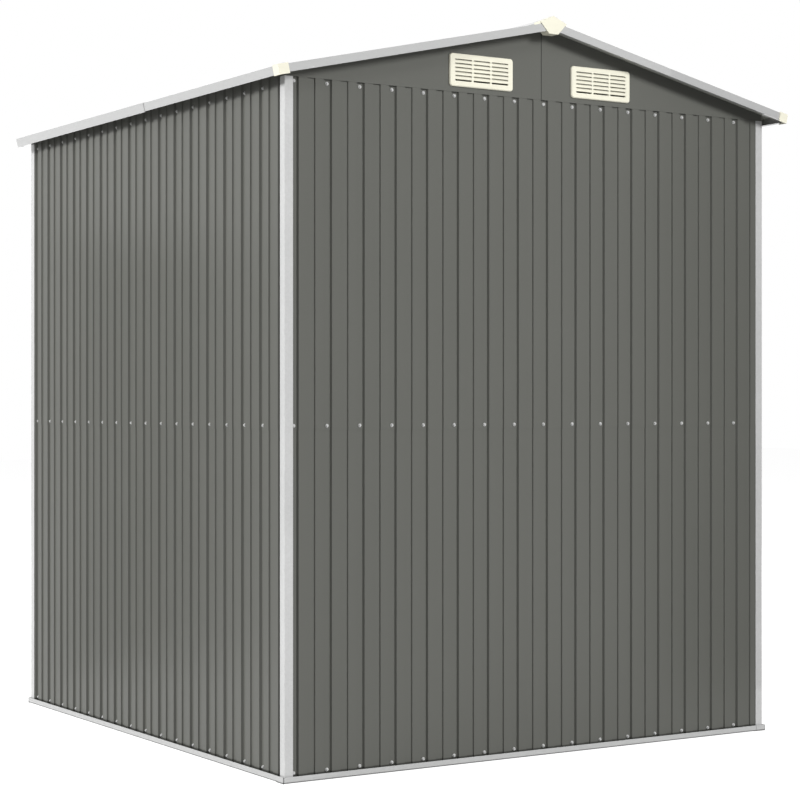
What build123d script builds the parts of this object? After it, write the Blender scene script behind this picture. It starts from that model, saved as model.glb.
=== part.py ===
"""Metal storage shed: grooved sheet walls on a base frame, a low gable roof and sliding doors."""
import os
from math import atan2, ceil, cos, floor, hypot, pi, sin, tan

from build123d import *

# Walls
WALL_WIDTH = 1802.0
WALL_DEPTH = 1838.0
WALL_HEIGHT = 2000.0
SEAM_HEIGHT = 997.0
SHEET_LAP = 24.0
TOP_LAP = 9.0
SHEET = 0.7
CLEAR = 0.3

# Grooves rolled into the sheets: deep ones for the screws, with shallow ones halfway between them.
# The first deep groove is measured from the rear right corner, and on the roof from the rear wall
GROOVE_PITCH = 110.15
GABLE_DATUM = 33.0
SIDE_DATUM = 28.7
ROOF_DATUM = 8.5
DEEP_FLOOR = 19.6
DEEP_FLANK = 3.7
DEEP_DEPTH = 6.8
SHALLOW_FLOOR = 21.8
SHALLOW_FLANK = 2.0
SHALLOW_DEPTH = 4.0

# Base rails
RAIL_REACH = 7.0
RAIL_HEIGHT = 18.5
RAIL_LEG = 45.0
RAIL_TAB = 37.0
RAIL_BEND = 4.0
RAIL_SHEET = 1.2

# Corner posts and inner frame
POST_LEG = 27.0
POST_SHEET = 1.2
FRAME_SHEET = 1.2
TOP_RAIL_HEIGHT = 52.0
TOP_RAIL_LEG = 30.0
CROSS_RAIL_HEIGHT = 38.0
MID_RAIL_HEIGHT = 35.0
MID_RAIL_LEG = 20.0
RIDGE_BEAM_WIDTH = 40.0
RIDGE_BEAM_HEIGHT = 54.0

# Roof
EAVE_RISE = 16.7
ROOF_RISE = 212.8
EAVE_OVERHANG = 54.0
REAR_OVERHANG = 60.0
FRONT_OVERHANG = 5.0
RIDGE_GAP = 12.0
TRIM_SHEET = 1.0
TRIM_FLANGE = 22.0
RAKE_FACE = 24.0
EAVE_FACE = 26.0
TRIM_RETURN = 9.0
FRONT_RETURN = 3.5
EAVE_JOINT = 804.0
EAVE_LAP = 40.0
EAVE_STEP = 2.6

# Moulded caps
CAP_WALL = 2.5
CAP_LEG = 31.0
CAP_DROP = 28.0
CAP_PEAK = 17.5
CAP_SHOULDER = 49.0
CAP_RISE = 7.4
CAP_FOOT = 17.2
CAP_TAIL = 37.7
CAP_SLEEVE = 31.0

# Gable sheets and vents
GABLE_SHEET = 0.8
VENT_OFFSET = 226.0
VENT_RISE = 64.7
VENT_WIDTH = 230.0
VENT_HEIGHT = 97.9
VENT_DEPTH = 7.0
VENT_CORNER = 10.0
VENT_BEVEL = 2.3
VENT_HOLE_MARGIN = 11.0
SLOT_COLUMNS = 3
SLOT_ROWS = 6
SLOT_WIDTH = 60.0
SLOT_HEIGHT = 5.0
SLOT_COLUMN_PITCH = 66.5
SLOT_ROW_PITCH = 12.1
SLOT_DROP = 5.0

# Doors
DOOR_OPENING = 960.0
DOOR_HEAD_GAP = 10.0
DOOR_LAP = 25.0
DOOR_SETBACK = 10.0
DOOR_DEPTH = 12.0
DOOR_STILE = 30.0
DOOR_SHEET = 1.2
JAMB_FACE = 30.0
JAMB_LEG = 9.0
HEADER_HEIGHT = 55.0
HEADER_DEPTH = 27.2
HANDLE_HEIGHT = 110.0
HANDLE_WIDTH = 16.0
HANDLE_REACH = 8.0
HANDLE_THICKNESS = 4.0
HANDLE_FOOT = 14.0
HANDLE_CENTRE = 1080.0
OVERRUN = 20.0

# Values worked out from the sizes above
half_width = WALL_WIDTH / 2
half_depth = WALL_DEPTH / 2
rail_reach = RAIL_REACH + RAIL_SHEET
rear_reach = max(REAR_OVERHANG + CAP_WALL, rail_reach)
front_reach = max(FRONT_OVERHANG + CAP_WALL, rail_reach)
middle = (front_reach - rear_reach) / 2
rear = middle + half_depth
front = middle - half_depth
ridge_height = WALL_HEIGHT + EAVE_RISE + ROOF_RISE
slope = atan2(ROOF_RISE, half_width + EAVE_OVERHANG)
slope_length = hypot(ROOF_RISE, half_width + EAVE_OVERHANG)
down_slope = Vector(cos(slope), 0, -sin(slope))
off_slope = Vector(sin(slope), 0, cos(slope))
rear_face = rear + REAR_OVERHANG
front_face = front - FRONT_OVERHANG
vent_centre = WALL_HEIGHT + VENT_RISE
door_top = WALL_HEIGHT - DOOR_HEAD_GAP
header_bottom = WALL_HEIGHT - HEADER_HEIGHT
groove_inside = POST_SHEET + DEEP_DEPTH + SHEET
side_sheet_end = groove_inside + SHEET + CLEAR
UP = (0, 0, 1)

os.makedirs("parts", exist_ok=True)


def save(piece, name):
    """Label a finished piece and write it under the same name."""
    piece.part.label = name
    export_step(piece.part, f"parts/{name}.step")


def under_roof(x):
    """Height of the underside of the roof sheets at a distance from the ridge."""
    stack = TRIM_SHEET + DEEP_DEPTH + SHEET
    return ridge_height - abs(x) * tan(slope) - stack / cos(slope)


def groove_corners(start, end, datum):
    """Corners of a grooved line from start to end, with its crests at zero."""
    corners = []
    first, last = floor((start - datum) / GROOVE_PITCH) - 1, ceil((end - datum) / GROOVE_PITCH) + 1
    for step in range(first, last + 1):
        for share, width, flank, depth in ((0, DEEP_FLOOR, DEEP_FLANK, DEEP_DEPTH),
                                           (1 / 2, SHALLOW_FLOOR, SHALLOW_FLANK, SHALLOW_DEPTH)):
            centre = datum + (step + share) * GROOVE_PITCH
            left, right = centre - width / 2, centre + width / 2
            corners += [(left - flank, 0), (left, -depth), (right, -depth), (right + flank, 0)]

    def level(along):
        for (a, low), (b, high) in zip(corners, corners[1:]):
            if a <= along <= b:
                return low + (high - low) * (along - a) / (b - a)

    inside = [corner for corner in corners if start < corner[0] < end]
    return [(start, level(start)), *inside, (end, level(end))]


def grooved_sheet(plane, corners, setback, length, way):
    """A folded sheet of even thickness, drawn across its grooves and run along them."""
    outer = [(along, level - setback) for along, level in corners]
    inner = [(along, level - SHEET) for along, level in reversed(outer)]
    with BuildPart() as sheet:
        with BuildSketch(plane):
            with BuildLine():
                Polyline(*outer, *inner, close=True)
            make_face()
        extrude(amount=length, dir=way)
    return sheet


def wall_plane(x, y, z, along, outward):
    """A level plane whose first axis runs along a wall and whose second points out of it."""
    return Plane(origin=(x, y, z), x_dir=along, z_dir=Vector(*along).cross(Vector(*outward)))


# Base rails, bent angles with a tab that laps round the corner over its neighbour
corner_x = half_width + RAIL_REACH
corner_y = half_depth + RAIL_REACH
rail_runs = {
    "base_rail_rear": ((corner_x, middle + corner_y), (-1, 0, 0), (0, 1, 0), 2 * corner_x),
    "base_rail_left": ((-corner_x, middle + corner_y), (0, -1, 0), (-1, 0, 0), 2 * corner_y),
    "base_rail_front": ((-corner_x, middle - corner_y), (1, 0, 0), (0, -1, 0), 2 * corner_x),
    "base_rail_right": ((corner_x, middle - corner_y), (0, 1, 0), (1, 0, 0), 2 * corner_y),
}
bend_inside = RAIL_BEND + RAIL_SHEET * tan(pi / 8)
for rail_name, (corner, along, outward, length) in rail_runs.items():
    plane = wall_plane(*corner, 0, along, outward)
    leg_start = RAIL_SHEET + CLEAR
    leg_end = length - RAIL_LEG - CLEAR
    face_end = length - RAIL_SHEET - CLEAR
    with BuildPart() as base_rail:
        with BuildSketch(plane):
            with BuildLine():
                Polyline((-RAIL_SHEET, 0), (leg_start, 0), (leg_start, -RAIL_SHEET), (0, -RAIL_SHEET),
                         (0, -RAIL_TAB), (-RAIL_SHEET, -RAIL_TAB), close=True)
            make_face()
            with BuildLine():
                Polyline((leg_end, 0), (face_end, 0), (face_end, -RAIL_SHEET), (leg_end, -RAIL_SHEET),
                         close=True)
            make_face()
        extrude(amount=RAIL_HEIGHT, dir=UP)
        rail_section = Plane(origin=plane.from_local_coords((leg_start, 0, 0)), x_dir=-plane.y_dir,
                             z_dir=along)
        with BuildSketch(rail_section):
            with BuildLine():
                Polyline(
                    (0, RAIL_HEIGHT),
                    (0, RAIL_BEND),
                    (RAIL_BEND, 0),
                    (RAIL_LEG, 0),
                    (RAIL_LEG, RAIL_SHEET),
                    (bend_inside, RAIL_SHEET),
                    (RAIL_SHEET, bend_inside),
                    (RAIL_SHEET, RAIL_HEIGHT),
                    close=True,
                )
            make_face()
        extrude(amount=leg_end - leg_start)
    save(base_rail, rail_name)

# Corner posts, angles that cover the ends of the wall sheets
for post_name, x_side, y_face, y_side in (
    ("post_rear_right", 1, rear, 1),
    ("post_rear_left", -1, rear, 1),
    ("post_front_right", 1, front, -1),
    ("post_front_left", -1, front, -1),
):
    with BuildPart() as post:
        with BuildSketch(Plane((x_side * half_width, y_face, RAIL_SHEET))):
            with BuildLine():
                Polyline(
                    (0, 0),
                    (-x_side * POST_LEG, 0),
                    (-x_side * POST_LEG, -y_side * POST_SHEET),
                    (-x_side * POST_SHEET, -y_side * POST_SHEET),
                    (-x_side * POST_SHEET, -y_side * POST_LEG),
                    (0, -y_side * POST_LEG),
                    close=True,
                )
            make_face()
        extrude(amount=WALL_HEIGHT - CLEAR - RAIL_SHEET)
    save(post, post_name)

# Rear and side walls in two tiers, the upper sheet lapped over the lower one
lower_length = SEAM_HEIGHT + SHEET_LAP - RAIL_SHEET
upper_length = WALL_HEIGHT + TOP_LAP - SEAM_HEIGHT
tiers = (("lower", RAIL_SHEET, POST_SHEET + SHEET, lower_length),
         ("upper", SEAM_HEIGHT, POST_SHEET, upper_length))
rear_grooves = groove_corners(POST_SHEET + CLEAR, WALL_WIDTH - POST_SHEET - CLEAR, GABLE_DATUM)
side_grooves = groove_corners(side_sheet_end, WALL_DEPTH - side_sheet_end, SIDE_DATUM)
for tier, bottom, setback, length in tiers:
    plane = wall_plane(half_width, rear, bottom, (-1, 0, 0), (0, 1, 0))
    save(grooved_sheet(plane, rear_grooves, setback, length, UP), f"rear_wall_{tier}")
    for side, x_side in (("right", 1), ("left", -1)):
        plane = wall_plane(x_side * half_width, rear, bottom, (0, -1, 0), (x_side, 0, 0))
        save(grooved_sheet(plane, side_grooves, setback, length, UP), f"{side}_wall_{tier}")

# Front panels beside the doors, their heads inside the door header
panel_edge = half_width - DOOR_OPENING / 2 - POST_SHEET - CLEAR
front_tiers = (("lower", RAIL_SHEET, POST_SHEET + SHEET, lower_length),
               ("upper", SEAM_HEIGHT, POST_SHEET, door_top - SEAM_HEIGHT))
for side, start, end in (
    ("right", POST_SHEET + CLEAR, panel_edge),
    ("left", WALL_WIDTH - panel_edge, WALL_WIDTH - POST_SHEET - CLEAR),
):
    for tier, bottom, setback, length in front_tiers:
        plane = wall_plane(half_width, front, bottom, (-1, 0, 0), (0, -1, 0))
        save(grooved_sheet(plane, groove_corners(start, end, GABLE_DATUM), setback, length, UP),
             f"front_panel_{side}_{tier}")

# Door jambs, angles round the edges of the opening
with BuildPart() as door_jambs:
    with BuildSketch(Plane((DOOR_OPENING / 2, front, RAIL_SHEET))):
        with BuildLine():
            Polyline((0, 0), (JAMB_FACE, 0), (JAMB_FACE, POST_SHEET), (POST_SHEET, POST_SHEET),
                     (POST_SHEET, JAMB_LEG), (0, JAMB_LEG), close=True)
        make_face()
    extrude(amount=header_bottom - CLEAR - RAIL_SHEET)
    mirror(about=Plane.YZ)
save(door_jambs, "door_jambs")

# Door header, a channel over the heads of the doors that carries their track
header_top = WALL_HEIGHT - CLEAR
header_half = half_width - POST_LEG - CLEAR
with BuildPart() as door_header:
    with BuildSketch(Plane((-header_half, front, 0), x_dir=(0, 1, 0), z_dir=(1, 0, 0))):
        with BuildLine():
            Polyline(
                (0, header_bottom),
                (0, header_top),
                (HEADER_DEPTH, header_top),
                (HEADER_DEPTH, header_bottom),
                (HEADER_DEPTH - POST_SHEET, header_bottom),
                (HEADER_DEPTH - POST_SHEET, header_top - POST_SHEET),
                (POST_SHEET, header_top - POST_SHEET),
                (POST_SHEET, header_bottom),
                close=True,
            )
        make_face()
    extrude(amount=2 * header_half)
save(door_header, "door_header")

# Sliding door leaves: a grooved sheet in a shallow tray frame with a middle bar
door_bottom = RAIL_SHEET + CLEAR
door_inner = CLEAR
door_outer = DOOR_OPENING / 2 + DOOR_LAP
door_width = door_outer - door_inner
door_height = door_top - door_bottom
door_face = front + DOOR_SETBACK
tray = DOOR_SHEET
with BuildPart() as door_frames:
    frame_plane = Plane((door_inner + door_width / 2, door_face, door_bottom + door_height / 2),
                        x_dir=(1, 0, 0), z_dir=(0, -1, 0))
    with BuildSketch(frame_plane.offset(-tray)):
        Rectangle(door_width, door_height)
        Rectangle(door_width - 2 * DOOR_STILE, door_height - 2 * DOOR_STILE, mode=Mode.SUBTRACT)
        Rectangle(door_width, DOOR_STILE)
    extrude(amount=tray)
    with BuildSketch(frame_plane.offset(-tray)):
        Rectangle(door_width, door_height)
        Rectangle(door_width - 2 * tray, door_height - 2 * tray, mode=Mode.SUBTRACT)
    extrude(amount=-(DOOR_DEPTH - tray))
    mirror(about=Plane.YZ)
save(door_frames, "door_frames")

leaf_edge = tray + CLEAR
for side, start, end in (
    ("right", half_width - door_outer + leaf_edge, half_width - door_inner - leaf_edge),
    ("left", half_width + door_inner + leaf_edge, half_width + door_outer - leaf_edge),
):
    plane = wall_plane(half_width, door_face, door_bottom + leaf_edge, (-1, 0, 0), (0, -1, 0))
    leaf_grooves = groove_corners(start, end, GABLE_DATUM)
    save(grooved_sheet(plane, leaf_grooves, tray, door_height - 2 * leaf_edge, UP), f"door_{side}")

# Door handles, low pulls on the meeting stiles
with BuildPart() as door_handles:
    with BuildSketch(Plane((door_inner + DOOR_STILE / 2 - HANDLE_WIDTH / 2, door_face,
                            HANDLE_CENTRE - HANDLE_HEIGHT / 2), x_dir=(0, -1, 0), z_dir=(1, 0, 0))):
        with BuildLine():
            Polyline(
                (0, 0),
                (HANDLE_THICKNESS, 0),
                (HANDLE_REACH, HANDLE_FOOT),
                (HANDLE_REACH, HANDLE_HEIGHT - HANDLE_FOOT),
                (HANDLE_THICKNESS, HANDLE_HEIGHT),
                (0, HANDLE_HEIGHT),
                (0, HANDLE_HEIGHT - HANDLE_FOOT),
                (HANDLE_THICKNESS, HANDLE_HEIGHT - HANDLE_FOOT),
                (HANDLE_THICKNESS, HANDLE_FOOT),
                (0, HANDLE_FOOT),
                close=True,
            )
        make_face()
    extrude(amount=HANDLE_WIDTH)
    mirror(about=Plane.YZ)
save(door_handles, "door_handles")

# Gable sheets in two halves, with an opening behind each vent
hole_width = VENT_WIDTH - 2 * VENT_HOLE_MARGIN
hole_height = VENT_HEIGHT - 2 * VENT_HOLE_MARGIN
for end, y_face, y_side in (("rear", rear, 1), ("front", front, -1)):
    for side, x_side in (("right", 1), ("left", -1)):
        sheet_face = y_face - y_side * POST_SHEET
        with BuildPart() as gable:
            with BuildSketch(Plane((0, sheet_face, 0), x_dir=(1, 0, 0), z_dir=(0, -1, 0))):
                with BuildLine():
                    Polyline(
                        (x_side * CLEAR, WALL_HEIGHT),
                        (x_side * half_width, WALL_HEIGHT),
                        (x_side * half_width, under_roof(half_width) - CLEAR),
                        (x_side * CLEAR, under_roof(CLEAR) - CLEAR),
                        close=True,
                    )
                make_face()
                with Locations((x_side * VENT_OFFSET, vent_centre)):
                    Rectangle(hole_width, hole_height, mode=Mode.SUBTRACT)
            extrude(amount=GABLE_SHEET, dir=(0, y_side, 0))
        save(gable, f"{end}_gable_{side}")

# Louvre vents, moulded plates whose slots slope down to the outside but for the lowest row
for end, y_face, y_side in (("rear", rear, 1), ("front", front, -1)):
    plate_back = y_face - y_side * (POST_SHEET - GABLE_SHEET)
    with BuildPart() as vents:
        vent_plane = Plane((VENT_OFFSET, plate_back, vent_centre), x_dir=(-y_side, 0, 0),
                           z_dir=(0, y_side, 0))
        with BuildSketch(vent_plane):
            RectangleRounded(VENT_WIDTH, VENT_HEIGHT, VENT_CORNER)
        extrude(amount=VENT_DEPTH)
        rim = vents.faces().sort_by(Axis.Y)[-1 if y_side > 0 else 0].outer_wire().edges()
        chamfer(rim, VENT_BEVEL)
        row_span = (SLOT_ROWS - 1) * SLOT_ROW_PITCH
        column_span = (SLOT_COLUMNS - 1) * SLOT_COLUMN_PITCH
        slot_plane = Plane((VENT_OFFSET - column_span / 2 - SLOT_WIDTH / 2, plate_back, vent_centre),
                           x_dir=(0, y_side, 0), z_dir=(y_side, 0, 0))
        with BuildSketch(slot_plane) as slot_rows:
            for row in range(SLOT_ROWS):
                sill = row * SLOT_ROW_PITCH - row_span / 2 - SLOT_HEIGHT / 2
                drop = SLOT_DROP if row else 0
                with BuildLine():
                    Polyline((0, sill + drop), (VENT_DEPTH, sill), (VENT_DEPTH, sill + SLOT_HEIGHT),
                             (0, sill + SLOT_HEIGHT + drop), close=True)
                make_face()
        for column in range(SLOT_COLUMNS):
            shifted = slot_rows.sketch.moved(Location((column * SLOT_COLUMN_PITCH, 0, 0)))
            extrude(shifted, amount=SLOT_WIDTH, dir=(1, 0, 0), mode=Mode.SUBTRACT)
        mirror(about=Plane.YZ)
    save(vents, f"{end}_vents")

# Top rails on the side walls, with a flange that follows the roof
for side, x_side in (("right", 1), ("left", -1)):
    web = half_width - groove_inside
    lip = FRAME_SHEET / cos(slope)
    foot = WALL_HEIGHT + TOP_LAP - TOP_RAIL_HEIGHT
    flange_end = web - TOP_RAIL_LEG
    with BuildPart() as top_rail:
        rail_start = rear - groove_inside - CLEAR
        with BuildSketch(Plane((0, rail_start, 0), x_dir=(x_side, 0, 0), z_dir=(0, -x_side, 0))):
            with BuildLine():
                Polyline(
                    (web, foot),
                    (web, under_roof(web)),
                    (flange_end, under_roof(flange_end)),
                    (flange_end, under_roof(flange_end) - lip),
                    (web - FRAME_SHEET, under_roof(web - FRAME_SHEET) - lip),
                    (web - FRAME_SHEET, foot),
                    close=True,
                )
            make_face()
        extrude(amount=rail_start - front - HEADER_DEPTH - CLEAR, dir=(0, -1, 0))
    save(top_rail, f"top_rail_{side}")

# Rear top rail behind the wall sheet
cross_half = half_width - groove_inside - FRAME_SHEET - CLEAR
cross_top = WALL_HEIGHT + TOP_LAP
with BuildPart() as top_rail_rear:
    with BuildSketch(Plane((cross_half, rear - groove_inside, cross_top), x_dir=(0, -1, 0),
                           z_dir=(-1, 0, 0))):
        with BuildLine():
            Polyline((0, 0), (0, -CROSS_RAIL_HEIGHT), (FRAME_SHEET, -CROSS_RAIL_HEIGHT),
                     (FRAME_SHEET, -FRAME_SHEET), (TOP_RAIL_LEG, -FRAME_SHEET), (TOP_RAIL_LEG, 0),
                     close=True)
        make_face()
    extrude(amount=2 * cross_half)
save(top_rail_rear, "top_rail_rear")

# Middle rails behind the seams of the rear and side walls
mid_face = groove_inside + SHEET
mid_half = half_width - mid_face - FRAME_SHEET - CLEAR
mid_run = half_depth - mid_face - MID_RAIL_LEG - CLEAR
mid_section = ((0, 0), (0, MID_RAIL_HEIGHT), (FRAME_SHEET, MID_RAIL_HEIGHT),
               (FRAME_SHEET, FRAME_SHEET), (MID_RAIL_LEG, FRAME_SHEET), (MID_RAIL_LEG, 0))
mid_foot = SEAM_HEIGHT + SHEET_LAP / 2 - MID_RAIL_HEIGHT / 2
with BuildPart() as mid_rails:
    with BuildSketch(Plane((mid_half, rear - mid_face, mid_foot), x_dir=(0, -1, 0),
                           z_dir=(-1, 0, 0))):
        with BuildLine():
            Polyline(*((depth, level) for depth, level in mid_section), close=True)
        make_face()
    extrude(amount=2 * mid_half, dir=(-1, 0, 0))
    with BuildSketch(Plane((half_width - mid_face, middle - mid_run, mid_foot), x_dir=(-1, 0, 0),
                           z_dir=(0, 1, 0))):
        with BuildLine():
            Polyline(*((depth, level) for depth, level in mid_section), close=True)
        make_face()
    extrude(amount=2 * mid_run, dir=(0, 1, 0))
    mirror(mid_rails.solids().sort_by(Axis.X)[-1], about=Plane.YZ)
save(mid_rails, "mid_rails")

# Ridge beam, a channel between the two gables
beam_half = RIDGE_BEAM_WIDTH / 2
beam_head = under_roof(beam_half)
beam_foot = beam_head - RIDGE_BEAM_HEIGHT
with BuildPart() as ridge_beam:
    with BuildSketch(Plane((0, rear - POST_SHEET - CLEAR, 0), x_dir=(1, 0, 0), z_dir=(0, -1, 0))):
        with BuildLine():
            Polyline(
                (-beam_half, beam_head),
                (-beam_half, beam_foot),
                (beam_half, beam_foot),
                (beam_half, beam_head),
                (beam_half - FRAME_SHEET, beam_head),
                (beam_half - FRAME_SHEET, beam_foot + FRAME_SHEET),
                (FRAME_SHEET - beam_half, beam_foot + FRAME_SHEET),
                (FRAME_SHEET - beam_half, beam_head),
                close=True,
            )
        make_face()
    extrude(amount=WALL_DEPTH - 2 * POST_SHEET - 2 * CLEAR)
save(ridge_beam, "ridge_beam")

# Roof sheets with grooves down the slope
roof_start = front_face + TRIM_SHEET + CLEAR
roof_end = rear_face - TRIM_SHEET - CLEAR
roof_grooves = groove_corners(roof_start, roof_end, rear + ROOF_DATUM)
ridge_point = Vector(0, 0, ridge_height)
roof_length = slope_length - TRIM_SHEET - CLEAR - RIDGE_GAP
roof_plane = Plane(origin=ridge_point + down_slope * RIDGE_GAP, x_dir=(0, 1, 0), z_dir=down_slope)
roof_right = grooved_sheet(roof_plane, roof_grooves, TRIM_SHEET, roof_length, down_slope)
save(roof_right, "roof_right")
with BuildPart() as roof_left:
    mirror(roof_right.part, about=Plane.YZ)
save(roof_left, "roof_left")


def slope_section(y):
    """A plane across the right slope: first axis down the slope, second off the roof."""
    return Plane(origin=(0, y, ridge_height), x_dir=down_slope, z_dir=(0, -1, 0))


def eave_section(outset, drop):
    """Corners of an eave channel set out from the roof edge and hanging lower by a drop."""
    face = slope_length + outset
    foot = -EAVE_FACE - drop
    return ((slope_length - TRIM_FLANGE, outset), (face, outset), (face, foot), (face - TRIM_RETURN, foot),
            (face - TRIM_RETURN, foot + TRIM_SHEET), (face - TRIM_SHEET, foot + TRIM_SHEET),
            (face - TRIM_SHEET, outset - TRIM_SHEET), (slope_length - TRIM_FLANGE, outset - TRIM_SHEET))


# Eave trims, two lengths of channel over the lower edge of each roof sheet: the front length laps over
# the rear one and is closed at its end
eave_start = rear_face - TRIM_FLANGE - CLEAR
eave_joint = rear - EAVE_JOINT
lap_outset = TRIM_SHEET + CLEAR
with BuildPart() as eave_trim_right:
    with BuildSketch(slope_section(eave_start)):
        with BuildLine():
            Polyline(*eave_section(0, 0), close=True)
        make_face()
    extrude(amount=eave_start - eave_joint + EAVE_LAP)
    with BuildSketch(slope_section(eave_joint)):
        with BuildLine():
            Polyline(*eave_section(lap_outset, EAVE_STEP), close=True)
        make_face()
    extrude(amount=eave_joint - front_face)
    with BuildSketch(slope_section(front_face + TRIM_SHEET)):
        with BuildLine():
            Polyline((slope_length - TRIM_FLANGE, lap_outset), (slope_length + lap_outset, lap_outset),
                     (slope_length + lap_outset, -EAVE_FACE - EAVE_STEP),
                     (slope_length - TRIM_FLANGE, -EAVE_FACE - EAVE_STEP), close=True)
        make_face()
    extrude(amount=TRIM_SHEET)
save(eave_trim_right, "eave_trim_right")
with BuildPart() as eave_trim_left:
    mirror(eave_trim_right.part, about=Plane.YZ)
save(eave_trim_left, "eave_trim_left")

# Outline of the ridge end caps, right half: peak, shoulder and foot
cap_peak = ridge_height + CAP_PEAK
cap_shoulder = ridge_height - CAP_SHOULDER * tan(slope) + CAP_RISE
cap_foot = ridge_height - CAP_TAIL
hood_fall = atan2(cap_peak - cap_shoulder, CAP_SHOULDER)
hood_wall = CAP_WALL / cos(hood_fall)
flare = atan2(CAP_SHOULDER - CAP_FOOT, cap_shoulder - cap_foot)
trough_room = under_roof(CAP_FOOT) - CLEAR - cap_foot
trough_top = cap_foot + trough_room / (1 + tan(flare) * tan(slope))
trough_half = CAP_FOOT + (trough_top - cap_foot) * tan(flare)

# Rake trims, channels along the sloping edges of the roof, cut away round the ridge end caps
rake_start = (RAKE_FACE * sin(slope) + CLEAR) / cos(slope)
for end, y_face, y_side, drop_return, rake_end in (
    ("rear", rear_face, 1, TRIM_RETURN, slope_length),
    ("front", front_face, -1, FRONT_RETURN, slope_length - TRIM_FLANGE - CLEAR),
):
    section = Plane(origin=Vector(0, y_face, ridge_height) + down_slope * rake_start,
                    x_dir=(0, 1, 0), z_dir=down_slope)
    with BuildPart() as rake_trims:
        with BuildSketch(section):
            with BuildLine():
                Polyline(
                    (-y_side * TRIM_FLANGE, 0),
                    (0, 0),
                    (0, -RAKE_FACE),
                    (-y_side * drop_return, -RAKE_FACE),
                    (-y_side * drop_return, TRIM_SHEET - RAKE_FACE),
                    (-y_side * TRIM_SHEET, TRIM_SHEET - RAKE_FACE),
                    (-y_side * TRIM_SHEET, -TRIM_SHEET),
                    (-y_side * TRIM_FLANGE, -TRIM_SHEET),
                    close=True,
                )
            make_face()
        extrude(amount=rake_end - rake_start, dir=down_slope)
        mirror(about=Plane.YZ)
        with BuildSketch(Plane((0, y_face, 0), x_dir=(1, 0, 0), z_dir=(0, -1, 0))):
            side_gap = CLEAR / cos(flare)
            with BuildLine():
                Polyline((0, under_roof(0)), (trough_half + side_gap, trough_top),
                         (CAP_FOOT + side_gap, cap_foot - CLEAR), (0, cap_foot - CLEAR), close=True)
            make_face()
            mirror(about=Plane.YZ)
        extrude(amount=drop_return + OVERRUN, both=True, mode=Mode.SUBTRACT)
    save(rake_trims, f"{end}_rake_trims")

# Ridge cap, a folded strip with turned down edges that ends under the hoods of the end caps
strip_half = CAP_SHOULDER - CAP_WALL - CLEAR
strip_top = cap_peak - hood_wall - CLEAR
strip_wall = TRIM_SHEET / cos(hood_fall)
strip_edge = strip_top - strip_half * tan(hood_fall)
strip_seat = ridge_height - strip_half * tan(slope)
with BuildPart() as ridge_cap:
    with BuildSketch(Plane((0, rear_face, 0), x_dir=(1, 0, 0), z_dir=(0, -1, 0))):
        with BuildLine():
            Polyline(
                (0, strip_top),
                (strip_half, strip_edge),
                (strip_half, strip_seat),
                (strip_half - TRIM_SHEET, strip_seat + TRIM_SHEET * tan(slope)),
                (strip_half - TRIM_SHEET, strip_edge + TRIM_SHEET * tan(hood_fall) - strip_wall),
                (0, strip_top - strip_wall),
                close=True,
            )
        make_face()
        mirror(about=Plane.YZ)
    extrude(amount=rear_face - front_face)
save(ridge_cap, "ridge_cap")

# Eave corner caps, moulded corners over the ends of the rear trims
with BuildPart() as rear_eave_caps:
    cap_plane = Plane(origin=Vector(0, rear_face, ridge_height) + down_slope * slope_length,
                      x_dir=down_slope, z_dir=off_slope)
    with BuildSketch(cap_plane.offset(-CAP_DROP)):
        with BuildLine():
            Polyline((CAP_WALL, CAP_WALL), (-CAP_LEG, CAP_WALL), (-CAP_LEG, 0), (0, 0),
                     (0, -CAP_LEG), (CAP_WALL, -CAP_LEG), close=True)
        make_face()
    extrude(amount=CAP_DROP)
    with BuildSketch(cap_plane):
        with BuildLine():
            Polyline((CAP_WALL, CAP_WALL), (-CAP_LEG, CAP_WALL), (-CAP_LEG, -CAP_LEG),
                     (CAP_WALL, -CAP_LEG), close=True)
        make_face()
    extrude(amount=CAP_WALL)
    mirror(about=Plane.YZ)
save(rear_eave_caps, "rear_eave_caps")

# Ridge end caps, moulded plates with a hood over the ridge cap and a trough under the roof sheets
trough_wall = CAP_WALL / cos(flare)
hood_inside = CAP_SHOULDER - CAP_WALL
with BuildPart() as ridge_end_caps:
    for y_face, y_side, sleeve in ((rear_face, 1, CAP_SLEEVE), (front_face, -1, FRONT_RETURN)):
        end_plane = Plane((0, y_face, 0), x_dir=(1, 0, 0), z_dir=(0, -1, 0))
        with BuildSketch(end_plane):
            with BuildLine():
                Polyline((0, cap_peak), (CAP_SHOULDER, cap_shoulder), (CAP_FOOT, cap_foot), (0, cap_foot),
                         close=True)
            make_face()
            mirror(about=Plane.YZ)
        extrude(amount=CAP_WALL, dir=(0, y_side, 0))
        with BuildSketch(end_plane):
            with BuildLine():
                Polyline(
                    (0, cap_peak),
                    (CAP_SHOULDER, cap_shoulder),
                    (CAP_SHOULDER, cap_shoulder - CAP_RISE + CLEAR),
                    (hood_inside, cap_shoulder - CAP_RISE + CAP_WALL * tan(slope) + CLEAR),
                    (hood_inside, cap_peak - hood_inside * tan(hood_fall) - hood_wall),
                    (0, cap_peak - hood_wall),
                    close=True,
                )
            make_face()
            mirror(about=Plane.YZ)
        extrude(amount=CAP_SLEEVE, dir=(0, -y_side, 0))
        with BuildSketch(end_plane):
            with BuildLine():
                Polyline(
                    (trough_half, trough_top),
                    (CAP_FOOT, cap_foot),
                    (0, cap_foot),
                    (0, cap_foot + CAP_WALL),
                    (CAP_FOOT + CAP_WALL * tan(flare) - trough_wall, cap_foot + CAP_WALL),
                    (trough_half - trough_wall, trough_top),
                    close=True,
                )
            make_face()
            mirror(about=Plane.YZ)
        extrude(amount=sleeve, dir=(0, -y_side, 0))
save(ridge_end_caps, "ridge_end_caps")
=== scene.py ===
"""Dresses the metal storage shed: a finish for every CAD node, screws, studio light and the camera."""
import math

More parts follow.
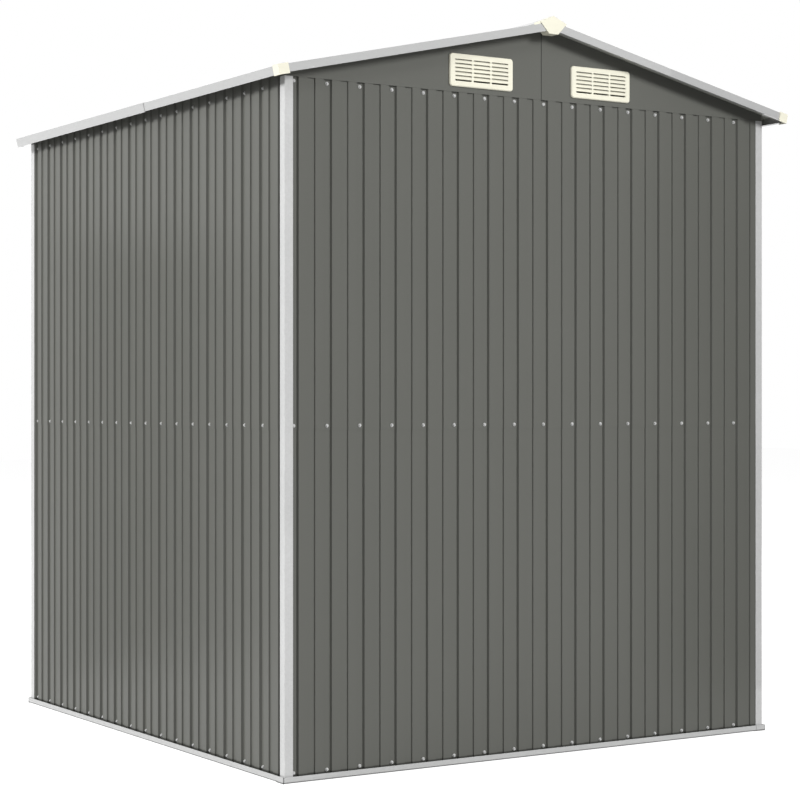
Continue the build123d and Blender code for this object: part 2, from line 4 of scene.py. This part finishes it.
import bmesh
import bpy
from mathutils import Matrix, Vector


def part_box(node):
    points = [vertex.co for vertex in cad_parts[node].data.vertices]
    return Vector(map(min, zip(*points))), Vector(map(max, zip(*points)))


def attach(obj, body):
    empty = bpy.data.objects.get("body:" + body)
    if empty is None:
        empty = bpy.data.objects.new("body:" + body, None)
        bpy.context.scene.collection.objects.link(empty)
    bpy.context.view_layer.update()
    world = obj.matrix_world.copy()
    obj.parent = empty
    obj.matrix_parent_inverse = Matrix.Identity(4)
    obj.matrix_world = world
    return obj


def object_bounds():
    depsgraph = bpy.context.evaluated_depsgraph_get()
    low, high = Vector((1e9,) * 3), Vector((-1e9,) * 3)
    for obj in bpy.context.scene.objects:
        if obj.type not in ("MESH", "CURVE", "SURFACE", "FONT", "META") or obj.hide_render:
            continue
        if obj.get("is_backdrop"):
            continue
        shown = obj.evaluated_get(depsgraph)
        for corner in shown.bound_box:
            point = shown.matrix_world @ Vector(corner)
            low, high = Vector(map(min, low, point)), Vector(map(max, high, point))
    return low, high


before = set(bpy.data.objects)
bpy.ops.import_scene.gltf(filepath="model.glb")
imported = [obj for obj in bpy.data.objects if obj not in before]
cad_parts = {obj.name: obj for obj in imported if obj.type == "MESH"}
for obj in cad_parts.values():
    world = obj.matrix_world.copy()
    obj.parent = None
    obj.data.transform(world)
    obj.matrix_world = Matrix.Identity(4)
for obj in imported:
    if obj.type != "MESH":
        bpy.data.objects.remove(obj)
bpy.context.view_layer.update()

# Camera, for an 800 by 800 picture: its place from the near corner, its angles in degrees and its lens
NEAR_POST = "post_rear_right"
CAMERA_OUT = (2.8535, 5.0194)
CAMERA_HEIGHT = 1.0764
CAMERA_LEVEL = 90.0
CAMERA_HEADING = 148.21
CAMERA_LENS = 92.009
CAMERA_SENSOR = 36.0
CAMERA_SHIFT = (0.04716, 0.0030)

# Screws in the deep grooves of the sheets: their spacing, their first place from a corner and their heights
SCREW_PITCH = 0.11015
GABLE_FIRST = 0.0330
SIDE_FIRST = 0.0287
GROOVE_DEPTH = 0.0068
BOTTOM_SCREW = 0.0258
SEAM_SCREW = 1.0098
GABLE_TOP_SCREW = 1.9885
SIDE_TOP_SCREW = 1.9812

# One screw: a flanged pan head with a cross recess, turned by some radians from one screw to the next
FLANGE_RADIUS = 0.0052
FLANGE_HEIGHT = 0.0014
HEAD_RADIUS = 0.0041
HEAD_HEIGHT = 0.0046
HEAD_SIDES = 20
SHOULDER_RADIUS_SHARE = 0.93
SHOULDER_HEIGHT_SHARE = 0.72
CROWN_RADIUS_SHARE = 0.74
RECESS_REACH = 0.0024
RECESS_HALF = 0.0005
RECESS_DEPTH = 0.0008
RECESS_ARMS = 4
SCREW_TURN = 2.4

# Colours, as linear values
WALL_COLOUR = (0.1165, 0.1182, 0.1068)
POST_COLOUR = (0.52, 0.522, 0.52)
RAIL_COLOUR = (0.48, 0.483, 0.48)
SCREW_COLOUR = (0.60, 0.603, 0.60)
TRIM_COLOUR = (0.44, 0.442, 0.44)
CREAM_COLOUR = (0.815, 0.793, 0.66)
DARK_COLOUR = (0.03, 0.031, 0.032)

# Noise: its detail, and the part of its range that is spread over a swing of tone or roughness
NOISE_DETAIL = 3.0
FINE_DETAIL = 2.0
WIDE_CORE = (0.1, 0.9)
MIDDLE_CORE = (0.2, 0.8)
NARROW_CORE = (0.3, 0.7)

# Painted sheet: noise scales in features a metre, with their swings, and the relief of its orange peel
PAINT_ROUGHNESS = 0.32
PAINT_GLOSS = 0.22
TRIM_ROUGHNESS = 0.42
CLOUD_SCALE = 2.2
CLOUD_SWING = 0.03
GRAIN_SCALE = 700.0
GRAIN_SWING = 0.06
SHEEN_SCALE = 9.0
SHEEN_SWING = 0.03
PEEL_SCALE = 420.0
PEEL_DEPTH = 0.00006
PEEL_STRENGTH = 0.4

# Painted shadow at the foot of the walls, where they meet the base rails, and joint line down the middle of
# the gables
FOOT_LINE = 0.0205
FOOT_FADE = 0.003
FOOT_SHADOW_TONE = 0.45
JOINT_EDGE = (0.0012, 0.0022)
JOINT_TONE = 0.45

# Undersides of the roof sheets: how much paler they are, and the normal's rise over which they fade
ROOF_BACK = 3.6
FACING_DOWN = (-0.5, -0.3)

# Galvanised steel: smears between its crystals, and the crystals' gloss and relief
SMEAR_SCALE = 6.0
SMEAR_SWING = 0.03
CRYSTAL_ROUGHNESS = (0.38, 0.58)
ZINC_DEPTH = 0.00004
ZINC_STRENGTH = 0.3

# Base rails: streaks drawn out along them, patches, gloss, painted shade along their uncoated lower edge and
# the corner joints
STREAK_STRETCH = (0.06, 0.06, 1.0)
STREAK_SCALE = 420.0
STREAK_SWING = 0.07
PATCH_SCALE = 70.0
PATCH_SWING = 0.04
RAIL_ROUGHNESS = 0.46
RAIL_SHEEN_SCALE = 90.0
RAIL_SHEEN_SWING = 0.08
RAIL_METAL = 0.2
RAIL_EDGE = (0.0036, 0.0046)
RAIL_EDGE_SHADE_TONE = 0.40
RAIL_JOINT = (0.0018, 0.0034)
RAIL_JOINT_TONE = 0.25

# Moulded plastic: flow clouds, painted shade where it is hollow, gloss and grain
FLOW_SCALE = 14.0
FLOW_SWING = 0.03
HOLLOW_SHADE_REACH = 0.012
HOLLOW_SHADE_SAMPLES = 8
HOLLOW_SHADE_EDGE = (0.15, 0.50)
HOLLOW_SHADE_TONE = 0.35
MOULD_SHEEN_SCALE = 60.0
MOULD_SHEEN_SWING = 0.06
MOULD_GRAIN_SCALE = 1100.0
MOULD_GRAIN_STRENGTH = 0.5

# Floor and sky: what they throw on the shed, and the glow that keeps the floor white to the eye
FLOOR_SIZE = 60.0
FLOOR_TONE = 0.45
FLOOR_GLOW = 0.84
SKY_LEVEL = 0.31

# Softboxes: name, place, length of a side and power in watts, all aimed at one point of the shed
LAMP_TARGET = (0.0, 0.0, 1.0)
LAMPS = (
    ("key", (-4.2, 11.2, 5.4), 2.8, 1085.0),
    ("side", (11.8, -2.9, 6.2), 2.2, 1550.0),
    ("fill", (6.5, 8.0, 7.0), 3.0, 190.0),
    ("back", (-6.0, -5.0, 4.0), 4.0, 250.0),
)

# Dark cards: name, the two ends of the foot, height and whether the card takes soft light from the shed
CARD_TONE = 0.02
CARDS = (
    ("gable_card", (-1.1, 1.7), (-4.0, 1.2), 2.7, True),
    ("side_card", (1.34, -1.6), (2.2, -1.6), 1.75, False),
)


def new_material(name):
    """A node material, its node tree, its shader and the point on the surface in metres."""
    made = bpy.data.materials.new(name)
    made.use_nodes = True
    tree = made.node_tree
    shader = tree.nodes["Principled BSDF"]
    place = tree.nodes.new("ShaderNodeTexCoord").outputs["Object"]
    return made, tree, shader, place


def noise(tree, place, scale, detail=NOISE_DETAIL):
    """Smooth noise from 0 to 1 with features about 1/scale metres across."""
    node = tree.nodes.new("ShaderNodeTexNoise")
    node.inputs["Scale"].default_value = scale
    node.inputs["Detail"].default_value = detail
    tree.links.new(place, node.inputs["Vector"])
    return node.outputs["Fac"]


def spread(tree, value, low, high, start=0.0, end=1.0):
    """Maps a value that runs from start to end onto low to high."""
    node = tree.nodes.new("ShaderNodeMapRange")
    node.inputs["From Min"].default_value = start
    node.inputs["From Max"].default_value = end
    node.inputs["To Min"].default_value = low
    node.inputs["To Max"].default_value = high
    tree.links.new(value, node.inputs["Value"])
    return node.outputs["Result"]


def mottle(tree, place, scale, middle, swing, core):
    """A value that wanders round its middle by a swing, as the core of a noise does."""
    return spread(tree, noise(tree, place, scale), middle - swing, middle + swing, *core)


def joined(tree, operation, first, second):
    """Two values put together by a maths operation."""
    node = tree.nodes.new("ShaderNodeMath")
    node.operation = operation
    tree.links.new(first, node.inputs[0])
    tree.links.new(second, node.inputs[1])
    return node.outputs["Value"]


def times(tree, first, second):
    """The product of two values."""
    return joined(tree, "MULTIPLY", first, second)


def larger(tree, first, second):
    """The larger of two values."""
    return joined(tree, "MAXIMUM", first, second)


def distance(tree, value, centre):
    """How far a value is from a fixed number, without its sign."""
    offset = tree.nodes.new("ShaderNodeMath")
    offset.operation = "SUBTRACT"
    tree.links.new(value, offset.inputs[0])
    offset.inputs[1].default_value = centre
    size = tree.nodes.new("ShaderNodeMath")
    size.operation = "ABSOLUTE"
    tree.links.new(offset.outputs["Value"], size.inputs[0])
    return size.outputs["Value"]


def shade(tree, colour, factor):
    """A colour made lighter or darker by a value round 1."""
    node = tree.nodes.new("ShaderNodeVectorMath")
    node.operation = "SCALE"
    node.inputs["Vector"].default_value = colour
    tree.links.new(factor, node.inputs["Scale"])
    return node.outputs["Vector"]


def bump(tree, shader, height, depth, strength):
    """Gives a shader small relief from a height of 0 to 1 that stands for depth metres."""
    node = tree.nodes.new("ShaderNodeBump")
    node.inputs["Strength"].default_value = strength
    node.inputs["Distance"].default_value = depth
    tree.links.new(height, node.inputs["Height"])
    tree.links.new(node.outputs["Normal"], shader.inputs["Normal"])


def axes(tree, vector):
    """The three parts of a vector."""
    node = tree.nodes.new("ShaderNodeSeparateXYZ")
    tree.links.new(vector, node.inputs["Vector"])
    return node.outputs["X"], node.outputs["Y"], node.outputs["Z"]


def underside(tree, below, elsewhere):
    """One value on surfaces that face down and another on all others."""
    surface = tree.nodes.new("ShaderNodeNewGeometry")
    upward = axes(tree, surface.outputs["True Normal"])[2]
    return spread(tree, upward, below, elsewhere, *FACING_DOWN)


def corner_reach(tree, place):
    """How far a point on the base rails' outer faces is from the nearest corner of the base."""
    x, y, _ = axes(tree, place)
    base_low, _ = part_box("base_rail_front")
    _, base_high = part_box("base_rail_rear")
    reaches = []
    for value, low, high in ((x, base_low.x, base_high.x), (y, base_low.y, base_high.y)):
        half = (high - low) / 2
        from_centre = distance(tree, value, (low + high) / 2)
        reaches.append(spread(tree, from_centre, half, 0.0, 0.0, half))
    return larger(tree, *reaches)


def painted_sheet(name, colour, roughness, coat=0.0, gloss=0.5, back=1.0, joint=1.0):
    """Coil-coated steel with grain, clouds, orange peel and a painted shadow at its foot; back and joint
    scale the tone there.
    """
    made, tree, shader, place = new_material(name)
    x, _, z = axes(tree, place)
    cloud = mottle(tree, place, CLOUD_SCALE, 1.0, CLOUD_SWING, WIDE_CORE)
    grain = mottle(tree, place, GRAIN_SCALE, 1.0, GRAIN_SWING, WIDE_CORE)
    # painted shadow: the paint is darkened below FOOT_LINE and fades back over FOOT_FADE, as shade in the
    # gap at the base rails
    foot = spread(tree, z, FOOT_SHADOW_TONE, 1.0, FOOT_LINE, FOOT_LINE + FOOT_FADE)
    middle_line = spread(tree, distance(tree, x, 0.0), joint, 1.0, *JOINT_EDGE)
    edges = times(tree, times(tree, foot, middle_line), underside(tree, back, 1.0))
    tone = times(tree, times(tree, cloud, grain), edges)
    tree.links.new(shade(tree, colour, tone), shader.inputs["Base Color"])
    sheen = mottle(tree, place, SHEEN_SCALE, roughness, SHEEN_SWING, WIDE_CORE)
    tree.links.new(sheen, shader.inputs["Roughness"])
    bump(tree, shader, noise(tree, place, PEEL_SCALE, FINE_DETAIL), PEEL_DEPTH, PEEL_STRENGTH)
    shader.inputs["Coat Weight"].default_value = coat
    shader.inputs["Specular IOR Level"].default_value = gloss
    return made


def galvanised_steel(name, colour, contrast, cell, metal, coat):
    """Zinc-coated steel: crystals of different greys and gloss, a few millimetres to a centimetre across."""
    made, tree, shader, place = new_material(name)
    crystal = tree.nodes.new("ShaderNodeTexVoronoi")
    crystal.inputs["Scale"].default_value = 1.0 / cell
    crystal.inputs["Randomness"].default_value = 1.0
    tree.links.new(place, crystal.inputs["Vector"])
    split = tree.nodes.new("ShaderNodeSeparateColor")
    tree.links.new(crystal.outputs["Color"], split.inputs["Color"])
    facet = spread(tree, split.outputs["Red"], 1.0 - contrast, 1.0 + contrast)
    smear = mottle(tree, place, SMEAR_SCALE, 1.0, SMEAR_SWING, NARROW_CORE)
    tree.links.new(shade(tree, colour, times(tree, facet, smear)), shader.inputs["Base Color"])
    tree.links.new(spread(tree, split.outputs["Green"], *CRYSTAL_ROUGHNESS), shader.inputs["Roughness"])
    shader.inputs["Metallic"].default_value = metal
    shader.inputs["Coat Weight"].default_value = coat
    bump(tree, shader, split.outputs["Blue"], ZINC_DEPTH, ZINC_STRENGTH)
    return made


def rolled_rail(name, colour):
    """The base rails' zinc: streaks along the rail, painted shade along an uncoated lower edge and dark
    corner joints.
    """
    made, tree, shader, place = new_material(name)
    longwise = tree.nodes.new("ShaderNodeVectorMath")
    longwise.operation = "MULTIPLY"
    longwise.inputs[1].default_value = STREAK_STRETCH
    tree.links.new(place, longwise.inputs[0])
    along = longwise.outputs["Vector"]
    height = axes(tree, place)[2]
    streak = mottle(tree, along, STREAK_SCALE, 1.0, STREAK_SWING, MIDDLE_CORE)
    patch = mottle(tree, place, PATCH_SCALE, 1.0, PATCH_SWING, MIDDLE_CORE)
    # painted shade: the rails are darkened along their lower edge, below RAIL_EDGE, where they meet the
    # floor
    edge = spread(tree, height, RAIL_EDGE_SHADE_TONE, 1.0, *RAIL_EDGE)
    joint = spread(tree, corner_reach(tree, place), RAIL_JOINT_TONE, 1.0, *RAIL_JOINT)
    tone = times(tree, times(tree, streak, patch), times(tree, edge, joint))
    tree.links.new(shade(tree, colour, tone), shader.inputs["Base Color"])
    sheen = mottle(tree, place, RAIL_SHEEN_SCALE, RAIL_ROUGHNESS, RAIL_SHEEN_SWING, MIDDLE_CORE)
    tree.links.new(sheen, shader.inputs["Roughness"])
    shader.inputs["Metallic"].default_value = RAIL_METAL
    tree.links.new(spread(tree, height, 0.0, 1.0, *RAIL_EDGE), shader.inputs["Coat Weight"])
    bump(tree, shader, noise(tree, along, STREAK_SCALE), ZINC_DEPTH, ZINC_STRENGTH)
    return made


def moulded_plastic(name, colour, roughness, grain_depth):
    """Moulded plastic: an even colour with faint flow clouds, painted shade in its slots and a spark-eroded
    grain.
    """
    made, tree, shader, place = new_material(name)
    cloud = mottle(tree, place, FLOW_SCALE, 1.0, FLOW_SWING, NARROW_CORE)
    # painted shade: ambient occlusion darkens the colour in slots and other hollows
    hollow = tree.nodes.new("ShaderNodeAmbientOcclusion")
    hollow.inputs["Distance"].default_value = HOLLOW_SHADE_REACH
    hollow.samples = HOLLOW_SHADE_SAMPLES
    hollow_shade = spread(tree, hollow.outputs["AO"], HOLLOW_SHADE_TONE, 1.0, *HOLLOW_SHADE_EDGE)
    tree.links.new(shade(tree, colour, times(tree, cloud, hollow_shade)), shader.inputs["Base Color"])
    sheen = mottle(tree, place, MOULD_SHEEN_SCALE, roughness, MOULD_SHEEN_SWING, NARROW_CORE)
    tree.links.new(sheen, shader.inputs["Roughness"])
    grain = noise(tree, place, MOULD_GRAIN_SCALE, FINE_DETAIL)
    bump(tree, shader, grain, grain_depth, MOULD_GRAIN_STRENGTH)
    return made


wall_paint = painted_sheet("wall_paint", WALL_COLOUR, PAINT_ROUGHNESS, gloss=PAINT_GLOSS)
gable_paint = painted_sheet("gable_paint", WALL_COLOUR, PAINT_ROUGHNESS, gloss=PAINT_GLOSS, joint=JOINT_TONE)
roof_paint = painted_sheet("roof_paint", WALL_COLOUR, PAINT_ROUGHNESS, gloss=PAINT_GLOSS, back=ROOF_BACK)
trim_paint = painted_sheet("trim_paint", TRIM_COLOUR, TRIM_ROUGHNESS, coat=1.0)
rail_zinc = galvanised_steel("rail_zinc", RAIL_COLOUR, contrast=0.08, cell=0.009, metal=RAIL_METAL, coat=1.0)
base_zinc = rolled_rail("base_zinc", RAIL_COLOUR)
post_zinc = galvanised_steel("post_zinc", POST_COLOUR, contrast=0.03, cell=0.006, metal=0.0, coat=1.0)
screw_zinc = galvanised_steel("screw_zinc", SCREW_COLOUR, contrast=0.03, cell=0.002, metal=0.0, coat=0.6)
cream_plastic = moulded_plastic("cream_plastic", CREAM_COLOUR, roughness=0.38, grain_depth=0.00005)
dark_plastic = moulded_plastic("dark_plastic", DARK_COLOUR, roughness=0.45, grain_depth=0.00008)

# The finish of every CAD node, by the start of its name
FINISHES = {
    "base_rail": base_zinc,
    "post": post_zinc,
    "top_rail": rail_zinc,
    "mid_rails": rail_zinc,
    "ridge_beam": rail_zinc,
    "door_header": post_zinc,
    "door_jambs": post_zinc,
    "door_frames": post_zinc,
    "door_handles": dark_plastic,
    "door": wall_paint,
    "rear_wall": wall_paint,
    "left_wall": wall_paint,
    "right_wall": wall_paint,
    "front_panel": wall_paint,
    "rear_gable": gable_paint,
    "front_gable": gable_paint,
    "roof": roof_paint,
    "eave_trim": trim_paint,
    "rear_rake": trim_paint,
    "front_rake": trim_paint,
    "ridge_cap": trim_paint,
    "rear_vents": cream_plastic,
    "front_vents": cream_plastic,
    "rear_eave_caps": cream_plastic,
    "ridge_end_caps": cream_plastic,
}


def finish_of(node):
    """The finish whose name is the longest start of the node's name."""
    starts = [start for start in FINISHES if node.startswith(start)]
    return FINISHES[max(starts, key=len)]


for name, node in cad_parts.items():
    node.data.materials.clear()
    node.data.materials.append(finish_of(name))


def screw_head(mesh, matrix):
    """Adds one screw head to a mesh, standing up from the matrix's plane: flange, domed head and recess."""
    outline = [
        (FLANGE_RADIUS, 0.0),
        (FLANGE_RADIUS, FLANGE_HEIGHT),
        (HEAD_RADIUS, FLANGE_HEIGHT),
        (HEAD_RADIUS * SHOULDER_RADIUS_SHARE, HEAD_HEIGHT * SHOULDER_HEIGHT_SHARE),
        (HEAD_RADIUS * CROWN_RADIUS_SHARE, HEAD_HEIGHT),
    ]
    rings = []
    for radius, height in outline:
        ring = []
        for side in range(HEAD_SIDES):
            turn = math.tau * side / HEAD_SIDES
            point = Vector((radius * math.cos(turn), radius * math.sin(turn), height))
            ring.append(mesh.verts.new(matrix @ point))
        rings.append(ring)
    for lower, upper in zip(rings, rings[1:]):
        for side in range(HEAD_SIDES):
            after = (side + 1) % HEAD_SIDES
            mesh.faces.new((lower[side], lower[after], upper[after], upper[side]))
    arm = [(RECESS_REACH, -RECESS_HALF), (RECESS_REACH, RECESS_HALF), (RECESS_HALF, RECESS_HALF)]
    brim = []
    pit = []
    for index in range(RECESS_ARMS):
        turned = Matrix.Rotation(math.tau * index / RECESS_ARMS, 3, "Z")
        for x, y in arm:
            point = turned @ Vector((x, y, HEAD_HEIGHT))
            brim.append(mesh.verts.new(matrix @ point))
            pit.append(mesh.verts.new(matrix @ (point - Vector((0.0, 0.0, RECESS_DEPTH)))))
    count = len(brim)
    edges = []
    for corner in range(count):
        after = (corner + 1) % count
        mesh.faces.new((brim[corner], pit[corner], pit[after], brim[after]))
        edges.append(mesh.edges.get((brim[corner], brim[after])))
    mesh.faces.new(pit)
    crown = rings[-1]
    for side in range(HEAD_SIDES):
        edges.append(mesh.edges.get((crown[side], crown[(side + 1) % HEAD_SIDES])))
    bmesh.ops.triangle_fill(mesh, use_beauty=True, edges=edges)


def screws(name, places, outward):
    """One piece of screws at the places, with their heads facing outward."""
    mesh = bmesh.new()
    facing = Vector(outward).to_track_quat("Z", "Y").to_matrix().to_4x4()
    for index, place in enumerate(places):
        twist = Matrix.Rotation(index * SCREW_TURN, 4, "Z")
        screw_head(mesh, Matrix.Translation(place) @ facing @ twist)
    bmesh.ops.recalc_face_normals(mesh, faces=mesh.faces)
    data = bpy.data.meshes.new(name)
    mesh.to_mesh(data)
    mesh.free()
    data.materials.append(screw_zinc)
    piece = bpy.data.objects.new(name, data)
    bpy.context.scene.collection.objects.link(piece)
    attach(piece, "root")


def row(first, last):
    """Places along a wall, a pitch apart, from the first towards the last."""
    count = int(abs(last - first) / SCREW_PITCH) + 1
    step = math.copysign(SCREW_PITCH, last - first)
    return [first + step * index for index in range(count)]


# Screws on the four walls: the lower row is on the lower sheet, and the seam and top rows on the upper one
post_low, post_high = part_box(NEAR_POST)
post_leg = post_high.x - post_low.x
right, left = post_high.x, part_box("post_rear_left")[0].x
rear, front = post_high.y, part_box("post_front_right")[0].y
gable_tiers = (("lower", (BOTTOM_SCREW,)), ("upper", (SEAM_SCREW, GABLE_TOP_SCREW)))
side_tiers = (("lower", (BOTTOM_SCREW,)), ("upper", (SEAM_SCREW, SIDE_TOP_SCREW)))
gable_row = row(right - GABLE_FIRST, left + post_leg)
side_row = row(rear - SIDE_FIRST - SCREW_PITCH, front + post_leg)

rear_places = []
for tier, heights in gable_tiers:
    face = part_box(f"rear_wall_{tier}")[1].y - GROOVE_DEPTH
    rear_places += [Vector((x, face, z)) for z in heights for x in gable_row]
screws("rear_screws", rear_places, (0.0, 1.0, 0.0))

for hand, corner, outward in (("right", 1, 1.0), ("left", 0, -1.0)):
    places = []
    for tier, heights in side_tiers:
        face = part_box(f"{hand}_wall_{tier}")[corner].x - outward * GROOVE_DEPTH
        places += [Vector((face, y, z)) for z in heights for y in side_row]
    screws(f"{hand}_screws", places, (outward, 0.0, 0.0))

front_places = []
for hand in ("left", "right"):
    for tier, heights in gable_tiers:
        low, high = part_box(f"front_panel_{hand}_{tier}")
        inside = [x for x in gable_row if low.x + post_leg < x < high.x - FLANGE_RADIUS]
        front_places += [Vector((x, low.y + GROOVE_DEPTH, z)) for z in heights for x in inside]
screws("front_screws", front_places, (0.0, -1.0, 0.0))


def grey(level):
    """An opaque neutral colour."""
    return (level, level, level, 1.0)


def seen_by(tree, *rays):
    """1 for the named kinds of rays and 0 for all others."""
    path = tree.nodes.new("ShaderNodeLightPath")
    seen = path.outputs[rays[0]]
    for ray in rays[1:]:
        seen = larger(tree, seen, path.outputs[ray])
    return seen


def add_sheet(name, corners, material):
    """A flat four-sided sheet of one material."""
    data = bpy.data.meshes.new(name)
    data.from_pydata(corners, [], [(0, 1, 2, 3)])
    data.materials.append(material)
    made = bpy.data.objects.new(name, data)
    bpy.context.scene.collection.objects.link(made)
    return made


def add_floor():
    """A wide floor, white to the eye and in mirrors, that keeps the shed's shadow."""
    made = bpy.data.materials.new("floor_white")
    made.use_nodes = True
    tree = made.node_tree
    tree.nodes.clear()
    matt = tree.nodes.new("ShaderNodeBsdfDiffuse")
    matt.inputs["Color"].default_value = grey(FLOOR_TONE)
    glow = tree.nodes.new("ShaderNodeEmission")
    seen = seen_by(tree, "Is Camera Ray", "Is Glossy Ray")
    tree.links.new(spread(tree, seen, 0.0, FLOOR_GLOW), glow.inputs["Strength"])
    both = tree.nodes.new("ShaderNodeAddShader")
    tree.links.new(matt.outputs["BSDF"], both.inputs[0])
    tree.links.new(glow.outputs["Emission"], both.inputs[1])
    out = tree.nodes.new("ShaderNodeOutputMaterial")
    tree.links.new(both.outputs["Shader"], out.inputs["Surface"])
    half = FLOOR_SIZE / 2
    corners = [(-half, -half, 0.0), (half, -half, 0.0), (half, half, 0.0), (-half, half, 0.0)]
    ground = add_sheet("floor", corners, made)
    ground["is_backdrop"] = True


def add_sky():
    """An even soft sky, white where it is seen directly, mirrored or through glass."""
    world = bpy.data.worlds.new("studio")
    world.use_nodes = True
    tree = world.node_tree
    back = tree.nodes["Background"]
    back.inputs["Color"].default_value = grey(1.0)
    seen = seen_by(tree, "Is Camera Ray", "Is Glossy Ray", "Is Transmission Ray")
    tree.links.new(spread(tree, seen, SKY_LEVEL, 1.0), back.inputs["Strength"])
    bpy.context.scene.world = world


def add_lamp(name, place, size, power):
    """A square softbox that points from its place at the shed and isn't mirrored."""
    data = bpy.data.lights.new(name, "AREA")
    data.size = size
    data.energy = power
    lamp = bpy.data.objects.new(name, data)
    lamp.location = place
    lamp.rotation_euler = (Vector(LAMP_TARGET) - Vector(place)).to_track_quat("-Z", "Y").to_euler()
    lamp.visible_glossy = False
    bpy.context.scene.collection.objects.link(lamp)


def add_card(name, start, end, height, soaks):
    """A dark upright card, hidden from the camera, mirrored in the paint, that may soak up soft light."""
    made = bpy.data.materials.new(name)
    made.use_nodes = True
    made.node_tree.nodes["Principled BSDF"].inputs["Base Color"].default_value = grey(CARD_TONE)
    corners = [(*start, 0.0), (*end, 0.0), (*end, height), (*start, height)]
    card = add_sheet(name, corners, made)
    card.visible_camera = False
    card.visible_diffuse = soaks
    card.visible_shadow = False
    card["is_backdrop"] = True


add_floor()
add_sky()
for lamp in LAMPS:
    add_lamp(*lamp)
for card in CARDS:
    add_card(*card)

camera_data = bpy.data.cameras.new("camera")
camera_data.sensor_width = CAMERA_SENSOR
camera_data.lens = CAMERA_LENS
camera_data.shift_x, camera_data.shift_y = CAMERA_SHIFT
camera = bpy.data.objects.new("camera", camera_data)
camera.location = (right + CAMERA_OUT[0], rear + CAMERA_OUT[1], CAMERA_HEIGHT)
camera.rotation_euler = (math.radians(CAMERA_LEVEL), 0.0, math.radians(CAMERA_HEADING))
bpy.context.scene.collection.objects.link(camera)
bpy.context.scene.camera = camera
bpy.context.scene.view_settings.view_transform = "Standard"

low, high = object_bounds()
